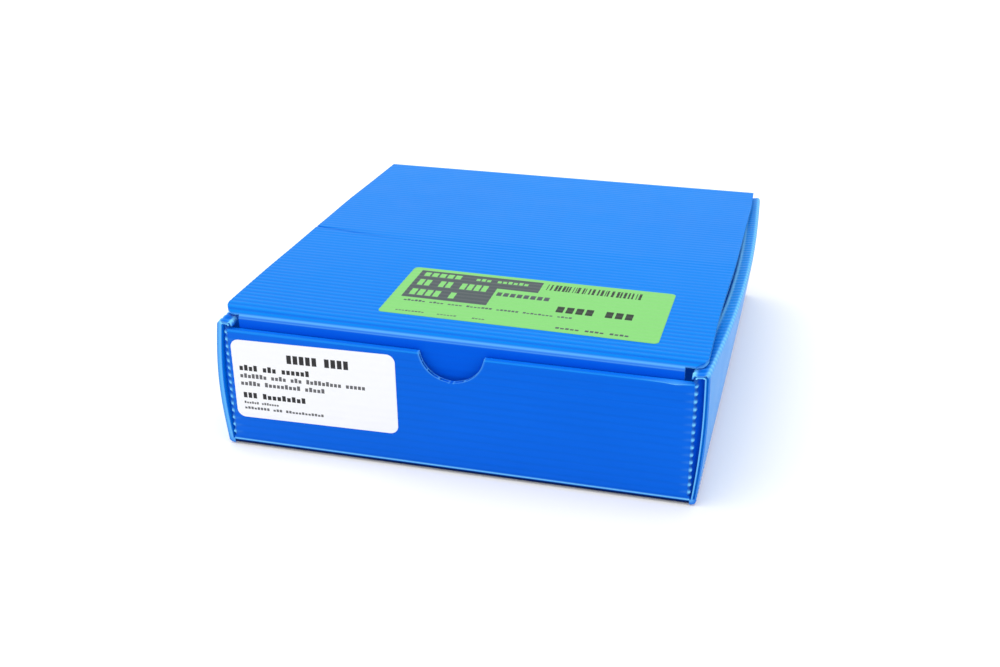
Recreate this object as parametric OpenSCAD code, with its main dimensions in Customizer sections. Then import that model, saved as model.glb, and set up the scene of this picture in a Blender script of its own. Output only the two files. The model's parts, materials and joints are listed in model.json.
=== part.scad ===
// Tuck-lid box folded from one die-cut blank of fluted (twin-wall) plastic sheet.
// Millimetres. X runs to the box's right, Y from the front wall to the hinge, Z up.
// The origin is the middle of the base's underside.

/* [Box] */
// Width of the base, over the outer side panels
box_w = 194.2; // [150:0.1:260]
// Length of the base, from the front wall's face to the rear wall's face
box_l = 217; // [160:0.5:320]
// Height of the front wall, to its cut edge
front_h = 52; // [36:0.5:90]
// Rise of the side walls' front ends above the front wall's cut edge
side_rise = 3.2; // [3:0.1:8]
// Fall of the side walls' outer folds from their front ends to their rear ends
side_fall = 2.6; // [0:0.1:2.8]

/* [Fluted sheet] */
// Thickness of the sheet over both skins
sheet_t = 2; // [1.6:0.1:3]
// Thickness of each skin
skin_t = 0.25; // [0.2:0.01:0.35]
// Thickness of the ribs that hold the skins apart
rib_t = 0.25; // [0.2:0.01:0.35]
// Distance between neighbouring ribs
flute_pitch = 3.25; // [2.6:0.05:5]
// Air left between panels that lie against each other
lap_gap = 0.15; // [0.1:0.01:0.3]

/* [Side walls] */
// Drop of the side walls' inner folds below their outer folds
strip_drop = 0.8; // [0.2:0.1:1.2]
// Outward lean of the right side wall's top at the front end
right_lean_front = 1.9; // [0:0.1:4]
// Outward lean of the right side wall's top at the rear end
right_lean_rear = 4; // [0:0.1:6]
// Extra outward bow of the right side wall's top between its ends
right_bow = 4.2; // [0:0.1:5]
// Outward lean of the left side wall's top at both ends
left_lean = 0.8; // [0:0.1:4]
// Length of the corner flaps that are tucked into the side walls
corner_flap_l = 44; // [25:1:70]
// Length of each locking tab of the inner side panels
tab_l = 26; // [15:1:40]
// Distance of the locking tabs' middles from the box's middle
tab_at = 58; // [25:1:75]

/* [Thumb notch] */
// Radius of the half-round notch in the front wall's cut edge
notch_r = 13.2; // [8:0.1:20]

/* [Lid] */
// Width of the lid panel between its cut edges
lid_w = 194.1; // [150:0.1:260]
// Sideways offset of the lid's middle from the base's middle, to the right
lid_shift = 0.65; // [-1.5:0.05:1.5]
// Clearance under the lid above the side walls' outer folds
lid_gap = 0.3; // [0.2:0.05:1]
// Rise of the lid's front fold above a lid that rests on the side walls' front ends
lid_front_rise = 0.2; // [0:0.1:1]
// Rise of the lid's low ridge above that same rest
lid_crown = 1.2; // [0.6:0.1:3]
// Distance of the lid's low ridge from the front wall's face
crown_at = 103; // [80:1:120]
// Radius of the lid panel's front corners
lid_corner_r = 8; // [4:0.5:12]
// Length of the tuck flap, from the lid's front fold to its free edge
flap_l = 38; // [20:1:48]
// Radius of the tuck flap's lower corners
flap_corner_r = 9; // [2:0.5:16]
// Clearance of the tuck flap to the front wall as the lid swings
swing_gap = 0.4; // [0.2:0.05:1]

/* [Front label] */
// Width of the label on the front wall
front_label_w = 70; // [30:0.5:90]
// Height of the label on the front wall
front_label_h = 35; // [15:0.5:45]
// Corner radius of the label on the front wall
front_label_r = 3.5; // [0.5:0.1:6]
// Distance of that label's middle from the box's middle, to the left
front_label_left = 57.75; // [46:0.25:58]
// Height of that label's middle above the base's underside
front_label_z = 29.8; // [26:0.1:31]
// Turn of that label out of level
front_label_turn = 1; // [-2:0.1:2]

/* [Lid label] */
// Width of the label on the lid
lid_label_w = 113.5; // [60:0.5:120]
// Length of the label on the lid
lid_label_l = 48; // [20:0.5:60]
// Corner radius of the label on the lid
lid_label_r = 2; // [0.5:0.1:5]
// Distance of that label's middle from the box's middle, to the right
lid_label_right = 21.2; // [-30:0.2:30]
// Distance of that label's middle from the front wall's face
lid_label_at = 40.6; // [38:0.2:52]
// Turn of that label out of square
lid_label_turn = -0.7; // [-2:0.1:2]
// Thickness of both labels
label_t = 0.12; // [0.08:0.01:0.3]

/* [Hidden] */

wall_blue = [0.07, 0.40, 0.92];
lid_blue = [0.20, 0.56, 1.00];
label_white = [0.95, 0.95, 0.97];
label_green = [0.50, 0.88, 0.42];

front_y = -box_l / 2;
rear_y = box_l / 2;
// Height of the side walls' outer folds at the front end, and from there to the rear end
side_h = front_h + side_rise;
function side_top(y) = side_h - side_fall * (y - front_y) / box_l;
// Heights of the lid's face if it rested on the side walls' front ends, and of the
// crease that the lid swings about, where it rests on their rear ends
rest_h = side_h + lid_gap + sheet_t;
hinge_h = rest_h - side_fall;
// A roll-over side wall is three sheets: outer panel, corner flap, inner panel
lap_step = sheet_t + lap_gap;
strip_w = 3 * sheet_t + 2 * lap_gap;
// The front and rear walls reach between the outer side panels
wall_half = box_w / 2 - lap_step;
// Length over which a corner flap swings out from its crease into the side wall
flap_turn = 7;
// The inner side panels start behind that turn
inner_start = flap_turn + 1;
// Room that a locking tab has in its slot, and its height above the underside
tab_play = 0.3;
tab_end = 0.3;
// Air between the two mitred faces of the hinge crease
hinge_gap = 0.2;
// Steps along a side wall: the right one is bowed, the left one straight
function wall_steps(side) = side > 0 ? 24 : 1;
// What a cutter reaches past the material
over = 1;

// ---------------------------------------------------------------- outlines

function unit(v) = v / norm(v);

// Normal on the right hand of someone who walks from a to b
function right_of(a, b) = let (d = unit(b - a)) [d[1], -d[0]];

// An open line of points moved to its right by d, with mitred corners
function shifted(line, d) = let (last = len(line) - 1)
    [for (i = [0 : last]) let (
        before = right_of(line[max(i - 1, 0)], line[max(i, 1)]),
        after = right_of(line[min(i, last - 1)], line[min(i + 1, last)]))
        line[i] + d * (before + after) / (1 + before * after)];

function reversed(list) = [for (i = [len(list) - 1 : -1 : 0]) list[i]];

// The closed outline between two depths under the sheet's outer face
function band(line, from, to) = concat(shifted(line, from), reversed(shifted(line, to)));

// The hollows between ribs on a stretch of sheet, as [start, end] along it.
// Ribs stand a flute pitch apart, the first of them half a pitch from the stretch's zero.
function flutes(first, last) = [
    for (k = [-1 : ceil(last / flute_pitch)])
        let (start = max(first, (k + 0.5) * flute_pitch + rib_t / 2),
             end = min(last, (k + 1.5) * flute_pitch - rib_t / 2))
            if (end - start > skin_t) [start, end]];

// ------------------------------------------------------------ fluted sheet

// Hollows of the panel whose outer face runs from a to b, seen along its flutes
module flute_section(a, b, first, last) {
    along = unit(b - a);
    inward = right_of(a, b);
    for (f = flutes(first, last))
        polygon([
            a + along * f[0] + inward * skin_t,
            a + along * f[1] + inward * skin_t,
            a + along * f[1] + inward * (sheet_t - skin_t),
            a + along * f[0] + inward * (sheet_t - skin_t)]);
}

// A section in Y and Z drawn out along X, around x
module drawn_along_x(x, width) {
    translate([x - width / 2, 0, 0])
        rotate([90, 0, 90])
            linear_extrude(width) children();
}

// A section in X and Z drawn out along Y, from y0 to y1
module drawn_along_y(y0, y1) {
    translate([0, y1, 0])
        rotate([90, 0, 0])
            linear_extrude(y1 - y0) children();
}

// A closed solid through like sections. Each is a list of 3D points, an outer line and
// then the inner line reversed, and runs clockwise when seen from the first section's end.
module loft(sections) {
    n = len(sections[0]);
    last = len(sections) - 1;
    function at(s, i) = s * n + i % n;
    sides = [for (s = [0 : last - 1], i = [0 : n - 1])
        each [[at(s, i), at(s + 1, i), at(s + 1, i + 1)],
              [at(s, i), at(s + 1, i + 1), at(s, i + 1)]]];
    ends = [for (i = [0 : n / 2 - 2])
        each [[at(0, i), at(0, i + 1), at(0, n - 2 - i)],
              [at(0, i), at(0, n - 2 - i), at(0, n - 1 - i)],
              [at(last, i), at(last, n - 2 - i), at(last, i + 1)],
              [at(last, i), at(last, n - 1 - i), at(last, n - 2 - i)]]];
    polyhedron([for (s = sections) each s], concat(sides, ends), convexity = 8);
}

// A rounded rectangle around the origin
module rounded_field(w, h, r) {
    square([w - 2 * r, h], center = true);
    square([w, h - 2 * r], center = true);
    for (x = [-1, 1], y = [-1, 1])
        translate([x * (w / 2 - r), y * (h / 2 - r)]) circle(r, $fn = 48);
}

// What a rounded corner loses, with the arc's middle at the origin
module corner_waste(r) {
    difference() {
        square(r + over);
        circle(r, $fn = 64);
    }
}

// ------------------------------------------- rear wall, base and front wall

rear_top = [rear_y, hinge_h];
rear_foot = [rear_y, 0];
front_foot = [front_y, 0];
front_top = [front_y, front_h];

// What lies past the hinge crease's mitre, for the rear wall (1) or for the lid (-1)
module past_mitre(side) {
    reach = 3 * sheet_t;
    translate(rear_top) rotate(45)
        translate([-reach, side > 0 ? -hinge_gap / 2 : -reach])
            square([2 * reach, reach + hinge_gap / 2]);
}

module through_section() {
    difference() {
        polygon(band([rear_top, rear_foot, front_foot, front_top], 0, sheet_t));
        past_mitre(1);
        flute_section(rear_top, rear_foot, sheet_t + 2 * skin_t, hinge_h - sheet_t);
        flute_section(rear_foot, front_foot, sheet_t, box_l - sheet_t);
        flute_section(front_foot, front_top, sheet_t, front_h + over);
    }
}

module thumb_notch() {
    translate([0, front_y + sheet_t + over, front_h])
        rotate([90, 0, 0])
            cylinder(r = notch_r, h = sheet_t + 2 * over, $fn = 96);
}

// -------------------------------------------------------------- side walls
// Both side walls are worked out for the right and the left one is mirrored.

// Height of the top strip's underside at its inner fold
function strip_under(y) = side_top(y) - strip_drop - sheet_t;

// How far a side wall's top stands out at y, for the right (1) or the left (-1) wall
function lean(y, side) = side < 0 ? left_lean
    : let (along = (y - front_y) / box_l)
        right_lean_front + (right_lean_rear - right_lean_front) * along
        + right_bow * sin(180 * along);

// Distance of a side wall's outer face from the middle, at y and height z
function side_x(y, z, side) = box_w / 2 + lean(y, side) * z / side_h;

// The roll-over wall at y along the sheet's outer face: inner panel from height low,
// top strip and outer panel, down to the given last points
function roll_over(y, side, low, tail) = let (
    outer_h = side_top(y),
    inner_h = outer_h - strip_drop) concat([
        [side_x(y, low, side) - strip_w, low],
        [side_x(y, inner_h, side) - strip_w, inner_h],
        [side_x(y, outer_h, side), outer_h]], tail);

module side_wall(side) {
    difference() {
        union() {
            loft([for (i = [0 : wall_steps(side)]) let (
                y = front_y + box_l * i / wall_steps(side),
                foot = [[box_w / 2, 0], [box_w / 2 - 1.5 * sheet_t, 0]])
                [for (p = band(roll_over(y, side, lap_step, foot), 0, sheet_t))
                    [p[0], y, p[1]]]]);
            for (end = [-1, 1]) locking_tab(side, end);
        }
        for (f = flutes(-over, box_l + over)) let (
            y = front_y + (f[0] + f[1]) / 2,
            heel = [[side_x(y, sheet_t, side), sheet_t]])
            drawn_along_y(front_y + f[0], front_y + f[1])
                polygon(band(roll_over(y, side, -over, heel), skin_t, sheet_t - skin_t));
        for (end = [-1, 1]) inner_panel_trim(side, end);
    }
}

// Room at the end of the inner panel, where the corner flap swings out
module inner_panel_trim(side, end) {
    y = end * box_l / 2;
    top = strip_under(y);
    // The cut runs up the middle of the corner flap's place
    function cut_x(z) = side_x(y, z, side) - lap_step - sheet_t / 2;
    drawn_along_y(y - inner_start, y + inner_start)
        polygon([
            [wall_half - strip_w, -over], [cut_x(-over), -over],
            [cut_x(top), top], [wall_half - strip_w, top]]);
}

// Middle of a locking tab along Y, at the front (-1) or the rear (1)
function tab_y(end) = end * tab_at;

// Tab of the inner panel that reaches down into the base's slot
module locking_tab(side, end) {
    y = tab_y(end);
    function face(z) = [side_x(y, z, side) - strip_w, z];
    drawn_along_y(y - tab_l / 2, y + tab_l / 2)
        polygon(band([face(tab_end), face(lap_step + tab_play)], 0, sheet_t));
}

module tab_slot(side, end) {
    x = side_x(tab_y(end), 0, side) - strip_w;
    translate([x - tab_play, tab_y(end) - tab_l / 2 - tab_play, -over])
        cube([sheet_t + 2 * tab_play, tab_l + 2 * tab_play, sheet_t + 2 * over]);
}

// Room behind the strip's and the outer panel's inner side for the tall rear wall
module rear_wall_trim() {
    translate([wall_half - 2 * strip_w, rear_y - lap_step, sheet_t + over])
        cube([2 * strip_w + lap_gap, lap_step + over, hinge_h]);
}

// A crushed crease at the end of the front (-1) or rear (1) wall, with the corner flap
// that runs from it into the side wall
module corner_flap(side, end) {
    // Height of the flap's upper (1) or lower (0) edge at a distance back from the wall's
    // face. The upper edge stays under the top strip.
    function edge_z(back, upper) = upper == 0 ? lap_step
        : min(front_h, strip_under(end * (box_l / 2 - back)) - lap_gap);
    function flap_point(back, upper) =
        [side_x(end * (box_l / 2 - back), edge_z(back, upper), side) - lap_step, front_y + back];
    function outline(upper) = band([
        flap_point(corner_flap_l, upper), flap_point(flap_turn, upper),
        [wall_half, front_y], [wall_half - sheet_t, front_y]], 0, sheet_t);
    mirror([0, end > 0 ? 1 : 0, 0])
        loft([for (upper = [1, 0])
            [for (p = outline(upper)) [p[0], p[1], edge_z(p[1] - front_y, upper)]]]);
}

module tray() {
    color(wall_blue) {
        difference() {
            drawn_along_x(0, 2 * wall_half) through_section();
            thumb_notch();
            for (side = [-1, 1], end = [-1, 1])
                mirror([side < 0 ? 1 : 0, 0, 0]) tab_slot(side, end);
        }
        for (side = [-1, 1])
            mirror([side < 0 ? 1 : 0, 0, 0]) {
                difference() {
                    side_wall(side);
                    rear_wall_trim();
                }
                for (end = [-1, 1]) corner_flap(side, end);
            }
    }
}

// -------------------------------------------------------------------- lid

// The flap's face may come no nearer to the front wall than this as the lid swings
swing_r = norm([box_l - sheet_t, hinge_h - front_h]) - swing_gap;
function swing_y(z) = rear_y - sqrt(swing_r * swing_r - (hinge_h - z) * (hinge_h - z));

fold_z = rest_h + lid_front_rise;
tip_z = fold_z - flap_l;
// The flap leans inwards on a straight line that stays behind that limit
flap_slope = (swing_y(tip_z) - swing_y(front_h)) / (front_h - tip_z);
function flap_y(z) = swing_y(front_h) + flap_slope * (front_h - z);

flap_tip = [flap_y(tip_z), tip_z];
front_fold = [flap_y(fold_z), fold_z];
crown = [front_y + crown_at, rest_h + lid_crown];
// The tuck flap is narrower than the lid by the rounded shoulders
flap_half = lid_w / 2 - lid_corner_r;

module lid_section() {
    difference() {
        polygon(band([flap_tip, front_fold, crown, rear_top], 0, sheet_t));
        past_mitre(-1);
        flute_section(flap_tip, front_fold, -over, norm(front_fold - flap_tip) - sheet_t - skin_t);
        flute_section(front_fold, crown, sheet_t + skin_t, norm(crown - front_fold) - rib_t / 2);
        flute_section(crown, rear_top, rib_t / 2,
            norm(rear_top - crown) - sheet_t - skin_t - hinge_gap);
    }
}

module lid() {
    color(lid_blue) difference() {
        drawn_along_x(lid_shift, lid_w) lid_section();
        for (side = [0, 1]) translate([lid_shift, 0, 0]) mirror([side, 0, 0]) {
            // The panel's rounded shoulder
            translate([flap_half, front_fold[0] + lid_corner_r, tip_z - over])
                mirror([0, 1, 0])
                    linear_extrude(flap_l + lid_crown + 2 * over) corner_waste(lid_corner_r);
            // The flap ends where the shoulder starts
            translate([flap_half, front_y - over, tip_z - over])
                cube([lid_corner_r + over, 2 * lid_corner_r, flap_l - sheet_t + over]);
            // The flap's rounded lower corner
            translate([flap_half - flap_corner_r, flap_tip[1] + 2 * sheet_t, tip_z + flap_corner_r])
                rotate([90, 0, 0]) mirror([0, 1, 0])
                    linear_extrude(4 * sheet_t) corner_waste(flap_corner_r);
        }
    }
}

// ----------------------------------------------------------------- labels

module front_label() {
    color(label_white)
        translate([-front_label_left, front_y, front_label_z])
            rotate([90, 0, 0]) rotate(front_label_turn)
                linear_extrude(label_t)
                    rounded_field(front_label_w, front_label_h, front_label_r);
}

module lid_label() {
    rise = crown - front_fold;
    along = (front_y + lid_label_at - front_fold[0]) * norm(rise) / rise[0];
    color(label_green)
        translate([lid_label_right, front_fold[0], front_fold[1]])
            rotate([atan2(rise[1], rise[0]), 0, 0])
                translate([0, along, 0]) rotate(lid_label_turn)
                    linear_extrude(label_t)
                        rounded_field(lid_label_w, lid_label_l, lid_label_r);
}

tray();
lid();
front_label();
lid_label();
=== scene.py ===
"""A tuck-lid box folded from one blank of fluted plastic sheet, with its two labels.

Sizes in the classes are millimetres, and meshes are written in metres. X runs to the box's
right, Y from the front wall to the hinge, and Z up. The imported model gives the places.
"""

import enum
import json
import logging
import math
from dataclasses import dataclass, field
from functools import cached_property

import bpy
import numpy as np
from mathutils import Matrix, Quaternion, Vector


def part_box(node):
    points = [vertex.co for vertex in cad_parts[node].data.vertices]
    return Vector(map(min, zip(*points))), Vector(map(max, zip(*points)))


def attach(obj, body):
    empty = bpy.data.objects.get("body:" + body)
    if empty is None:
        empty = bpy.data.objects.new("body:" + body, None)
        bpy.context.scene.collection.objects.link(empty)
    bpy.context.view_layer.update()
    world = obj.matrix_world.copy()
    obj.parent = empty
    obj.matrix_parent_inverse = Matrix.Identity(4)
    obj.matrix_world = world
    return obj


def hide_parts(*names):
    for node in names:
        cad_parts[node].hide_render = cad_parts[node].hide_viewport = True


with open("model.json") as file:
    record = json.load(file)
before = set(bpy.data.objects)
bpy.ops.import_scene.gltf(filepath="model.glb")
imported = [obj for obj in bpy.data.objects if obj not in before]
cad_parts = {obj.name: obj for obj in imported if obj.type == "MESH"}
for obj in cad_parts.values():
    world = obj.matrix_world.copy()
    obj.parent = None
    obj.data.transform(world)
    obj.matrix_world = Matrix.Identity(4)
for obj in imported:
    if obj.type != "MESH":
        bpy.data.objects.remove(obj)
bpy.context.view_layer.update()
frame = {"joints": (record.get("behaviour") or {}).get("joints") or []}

LOG = logging.getLogger("tuck_lid_box")
MM = 0.001
ALL_LAYERS = (0, 1, 2)
BETWEEN_SKINS = (1,)
EVEN = (1.0, 1.0, 1.0)
WHITE = (1.0, 1.0, 1.0, 1.0)
Array = np.ndarray
Colour = tuple[float, float, float, float]


# ------------------------------------------------------------------ small functions


def smooth_step(x: Array) -> Array:
    """Rises from 0 at x = 0 to 1 at x = 1 along 3x^2 - 2x^3, and is flat outside."""
    t = np.clip(x, 0.0, 1.0)
    return t * t * (3.0 - 2.0 * t)


def between(x: Array, start: float, rise: float, end: float, fall: float) -> Array:
    """Rises from 0 at start to 1 over rise, and falls over fall to 0 at end."""
    return smooth_step((x - start) / rise) * smooth_step((end - x) / fall)


def bell(x: Array, width: float) -> Array:
    """A bump of height 1 at x = 0 that falls off as exp(-(x / width)^2)."""
    return np.exp(-np.square(x / width))


def merged(*lists: Array, apart: float = 0.02) -> Array:
    """Sorts values together and drops those closer than apart to the one before.

    Args:
        lists: Lists of positions.
        apart: Least distance between two kept positions.

    Returns:
        The sorted positions.
    """
    values = np.unique(np.concatenate([np.asarray(v, float) for v in lists]))
    return values[np.concatenate([[True], np.diff(values) > apart])]


def within(v: Array, ends: Array) -> Array:
    """True where v lies between the two ends of a pair."""
    low, high = np.sort(np.reshape(ends, (-1, 2)), axis=1).T
    return ((v[:, None] > low) & (v[:, None] < high)).any(axis=1)


def scatter(n: int, seed: float) -> Array:
    """n fixed numbers from 0 to 1 that look random, from 43758.5 sin(12.99 i + seed)."""
    return np.modf(np.abs(43758.5453 * np.sin(12.9898 * np.arange(1, n + 1) + seed)))[0]


def over(s: Array = 1.0, layer: Array = 1.0, run: Array = 1.0, face: Array = 1.0) -> Array:
    """Product of values given along s, by layer, along the run and over the face (s, run)."""
    return (np.reshape(s, (-1, 1, 1)) * np.reshape(layer, (1, -1, 1))
            * np.reshape(run, (1, 1, -1)) * np.expand_dims(np.atleast_2d(face), 1))


def columns(left: Array, right: Array) -> Array:
    """Places across a panel, from -left over 0 to right, both given from the edge inwards."""
    return np.concatenate([-left, np.zeros((len(left), 1)), right[:, ::-1]], axis=1)


def put(name: str, data: bpy.types.ID) -> bpy.types.Object:
    """Makes an object of the data at the origin and links it to the scene.

    Args:
        name: Name of the object.
        data: Its mesh, camera or lamp.

    Returns:
        The object.
    """
    made = bpy.data.objects.new(name, data)
    bpy.context.scene.collection.objects.link(made)
    return made


def aimed(made: bpy.types.Object, way: Vector, roll: float = 0.0) -> None:
    """Turns a camera or lamp to look along way, rolled about it."""
    made.rotation_mode = "QUATERNION"
    made.rotation_quaternion = way.to_track_quat("-Z", "Y") @ Quaternion((0, 0, 1), roll)


def dressed(piece: bpy.types.Object, body: str) -> bpy.types.Object:
    """Gives a piece its body.

    Args:
        piece: The piece.
        body: The body that carries the piece.

    Returns:
        The same piece.
    """
    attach(piece, body)
    return piece


# ------------------------------------------------------------------ the sheet


@dataclass(frozen=True)
class SheetStock:
    """Twin-wall sheet: two skins held apart by ribs, with open flutes between them."""

    thickness: float = 2.0
    skin: float = 0.25
    rib: float = 0.25
    pitch: float = 3.25
    samples: int = 3

    @property
    def shares(self) -> Array:
        """Depths of the four layers of vertices, both faces of both skins, as shares."""
        t = self.thickness
        return np.array([0.0, self.skin, t - self.skin, t]) / t

    def to_rib(self, s: Array, zero: float) -> Array:
        """Signed distance from s to the nearest rib. Ribs stand at zero + (k + 1/2) pitch."""
        return (s - zero) - self.pitch * (np.floor((s - zero) / self.pitch) + 0.5)

    def lines(self, first: float, last: float, zero: float) -> Array:
        """Positions across the flutes at which the sheet is sampled.

        Each rib gives two lines, at its faces, and each flute a few between them.

        Args:
            first: Start of the stretch.
            last: End of the stretch.
            zero: Where the count of ribs starts.

        Returns:
            Sorted positions that include both ends.
        """
        k = np.arange(math.floor((first - zero) / self.pitch) - 1,
                      math.ceil((last - zero) / self.pitch) + 2)
        rib = zero + (k + 0.5) * self.pitch
        clear = self.pitch - self.rib
        steps = self.rib / 2 + clear * np.arange(self.samples + 2) / (self.samples + 1)
        inside = (rib[:, None] + steps[None, :]).ravel()
        return merged(inside[(inside > first + 0.1) & (inside < last - 0.1)], [first, last])

    def in_flute(self, s: Array, zero: float) -> Array:
        """True where s lies in a flute and not in a rib."""
        return np.abs(self.to_rib(s, zero)) > self.rib / 2

    def on_rib(self, s: Array, zero: float) -> Array:
        """True within 0.2 mm of a rib's middle."""
        return np.abs(self.to_rib(s, zero)) < 0.2

    def sag(self, s: Array, zero: float) -> Array:
        """0 over a rib and 1 over the middle of a flute: (1 - cos(2 pi d / pitch)) / 2."""
        return 0.5 - 0.5 * np.cos(2 * np.pi * self.to_rib(s, zero) / self.pitch)


@dataclass
class FoldedLine:
    """The two lines of a folded sheet, seen along its folds.

    The outer line runs through the corners and is rounded at each of them. The inner line is
    the same line moved by the thickness to the inner side, with mitred corners that are
    rounded a little. Both are sampled by the distance s along the unrounded outer line.
    """

    corners: list[tuple[float, float]]
    radii: list[float]
    thickness: float
    inner_side: int = 1
    mitre_start: bool = False
    mitre_end: bool = False
    inner_radius: float = 0.2
    folds: list[float] = field(default_factory=list)
    reaches: list[float] = field(default_factory=list)

    def __post_init__(self) -> None:
        """Lays out the knots that both lines are read between."""
        line = np.array(self.corners, float)
        steps = np.diff(line, axis=0)
        lengths = np.linalg.norm(steps, axis=1)
        ways = steps / lengths[:, None]
        normals = self.inner_side * np.stack([ways[:, 1], -ways[:, 0]], axis=1)
        at = np.concatenate([[0.0], np.cumsum(lengths)])
        t = self.thickness
        knots, outer, inner = [0.0], [line[0]], [line[0] + normals[0] * t]
        if self.mitre_start:
            inner[0] = inner[0] + ways[0] * t
            knots.append(1.5 * t)
            outer.append(line[0] + ways[0] * 1.5 * t)
            inner.append(outer[-1] + normals[0] * t)
        for m in range(1, len(line) - 1):
            way_in, way_out, side = ways[m - 1], ways[m], normals[m - 1]
            turn = math.acos(float(np.clip(way_in @ way_out, -1, 1)))
            half = math.tan(turn / 2)
            reach = max(self.radii[m - 1] * half, (t + self.inner_radius) * half) + 0.05
            corner = line[m] + t * (side + normals[m]) / (1 + side @ normals[m])
            share = np.linspace(0, 1, 25)
            knots.extend(at[m] - reach + 2 * reach * share)
            outer.extend(self._round(line[m], way_in, way_out, side, self.radii[m - 1],
                                     reach, turn, share))
            inner.extend(self._round(corner, way_in, way_out, side, self.inner_radius,
                                     reach - t * half, turn, share))
            self.folds.append(float(at[m]))
            self.reaches.append(float(reach))
        if self.mitre_end:
            knots.append(at[-1] - 1.5 * t)
            outer.append(line[-1] - ways[-1] * 1.5 * t)
            inner.append(outer[-1] + normals[-1] * t)
        knots.append(at[-1])
        outer.append(line[-1])
        inner.append(line[-1] + normals[-1] * t - (ways[-1] * t if self.mitre_end else 0))
        self.length = float(at[-1])
        self._knots, self._outer, self._inner = (np.array(v) for v in (knots, outer, inner))

    @staticmethod
    def _round(corner: Array, way_in: Array, way_out: Array, side: Array, radius: float,
               reach: float, turn: float, share: Array) -> Array:
        """Points at equal steps along a corner rounded by an arc.

        Args:
            corner: The sharp corner.
            way_in: Direction towards the corner.
            way_out: Direction away from it.
            side: Unit normal of way_in on the side that the line turns to.
            radius: Radius of the arc.
            reach: Length of line before and after the corner.
            turn: Angle of the turn.
            share: Shares of the rounded length at which to give points.

        Returns:
            One point for each share.
        """
        back = radius * math.tan(turn / 2)
        angle = np.linspace(0, turn, 13)[:, None]
        centre = corner - way_in * back + side * radius
        arc = centre + radius * (way_in * np.sin(angle) - side * np.cos(angle))
        path = np.vstack([corner - way_in * reach, arc, corner + way_out * reach])
        run = np.concatenate([[0], np.cumsum(np.linalg.norm(np.diff(path, axis=0), axis=1))])
        want = share * run[-1]
        return np.stack([np.interp(want, run, path[:, a]) for a in (0, 1)], axis=1)

    def faces(self, s: Array) -> tuple[Array, Array, Array]:
        """Reads both lines at s.

        Args:
            s: Distances along the unrounded outer line, any shape.

        Returns:
            Outer points, inner points and unit ways out, each with a last axis of 2.
        """
        outer, inner = (np.stack([np.interp(s, self._knots, table[:, a]) for a in (0, 1)], -1)
                        for table in (self._outer, self._inner))
        return outer, inner, (outer - inner) / np.linalg.norm(outer - inner, axis=-1)[..., None]

    def fold_lines(self, count: int = 8) -> Array:
        """Extra sample positions round each fold."""
        share = np.linspace(-1, 1, count + 1)
        return np.concatenate([f + r * share for f, r in zip(self.folds, self.reaches)])

    def near_folds(self, s: Array, width: float) -> Array:
        """Sum of a bell at each fold."""
        return sum(bell(s - f, width) for f in self.folds)


# ------------------------------------------------------------------ lattice solids


@dataclass
class Lattice:
    """A closed solid made of grid cells.

    points holds a place for each node (i, j, k) of the grid and filled says which cells are
    material. The faces of the solid are those between a filled cell and an empty one. values
    are read by the finish at each node, and ink numbers the finish of each cell's first face.
    """

    points: Array
    filled: Array
    values: dict[str, Array] = field(default_factory=dict)
    ink: Array | None = None

    def quads(self) -> tuple[Array, Array]:
        """Works out the boundary faces with array differences along each axis.

        Returns:
            Node numbers of each quad, turned outwards, and the finish number of each.
        """
        shape = self.points.shape[:3]
        number = np.arange(np.prod(shape)).reshape(shape)
        edges = [np.diff(self.points, axis=a) for a in range(3)]
        mid = tuple(n // 2 for n in self.filled.shape)
        turned = float(np.linalg.det(np.array([e[mid] for e in edges]))) < 0
        unit = np.eye(3, dtype=int)
        quads, finish = [], []
        for axis in range(3):
            change = np.diff(np.pad(self.filled, [(int(a == axis),) * 2 for a in range(3)])
                             .astype(np.int8), axis=axis)
            b, c = unit[(axis + 1) % 3], unit[(axis + 2) % 3]
            for sign in (1, -1):
                where = np.argwhere(change == -sign)
                ring = [where, where + b, where + b + c, where + c]
                quad = np.stack([number[tuple(r.T)] for r in ring], axis=1)
                quads.append(quad[:, ::-1] if (sign < 0) != turned else quad)
                picked = np.zeros(len(where), np.int32)
                if self.ink is not None and axis == 1:
                    top = where[:, 1] == 0
                    picked[top] = self.ink[where[top, 0], where[top, 2]]
                finish.append(picked)
        return np.concatenate(quads), np.concatenate(finish)

    def build(self, name: str, finishes: list[bpy.types.Material],
              sharp_deg: float = 42.0) -> bpy.types.Object:
        """Writes the solid into a new mesh object.

        Args:
            name: Name of the piece.
            finishes: Its materials; the first is the sheet's or the paper's own.
            sharp_deg: Edges that turn by more than this are shaded sharp.

        Returns:
            The object, at the origin, with its place in its mesh.
        """
        quads, finish = self.quads()
        used, quads = np.unique(quads.ravel(), return_inverse=True)
        quads = quads.reshape(-1, 4)
        points = self.points.reshape(-1, 3)[used] * MM
        mesh = bpy.data.meshes.new(name)
        mesh.vertices.add(len(points))
        mesh.vertices.foreach_set("co", points.astype(np.float32).ravel())
        mesh.loops.add(quads.size)
        mesh.loops.foreach_set("vertex_index", quads.astype(np.int32).ravel())
        mesh.polygons.add(len(quads))
        mesh.polygons.foreach_set("loop_start", np.arange(0, quads.size, 4, dtype=np.int32))
        for made in finishes:
            mesh.materials.append(made)
        mesh.polygons.foreach_set("material_index", finish)
        mesh.polygons.foreach_set("use_smooth", np.ones(len(quads), bool))
        for key, value in self.values.items():
            layer = mesh.attributes.new(key, "FLOAT", "POINT")
            layer.data.foreach_set("value", value.reshape(-1)[used].astype(np.float32))
        mesh.update(calc_edges=True)
        mesh.validate()
        mesh.set_sharp_from_angle(angle=math.radians(sharp_deg))
        return put(name, mesh)


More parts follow.
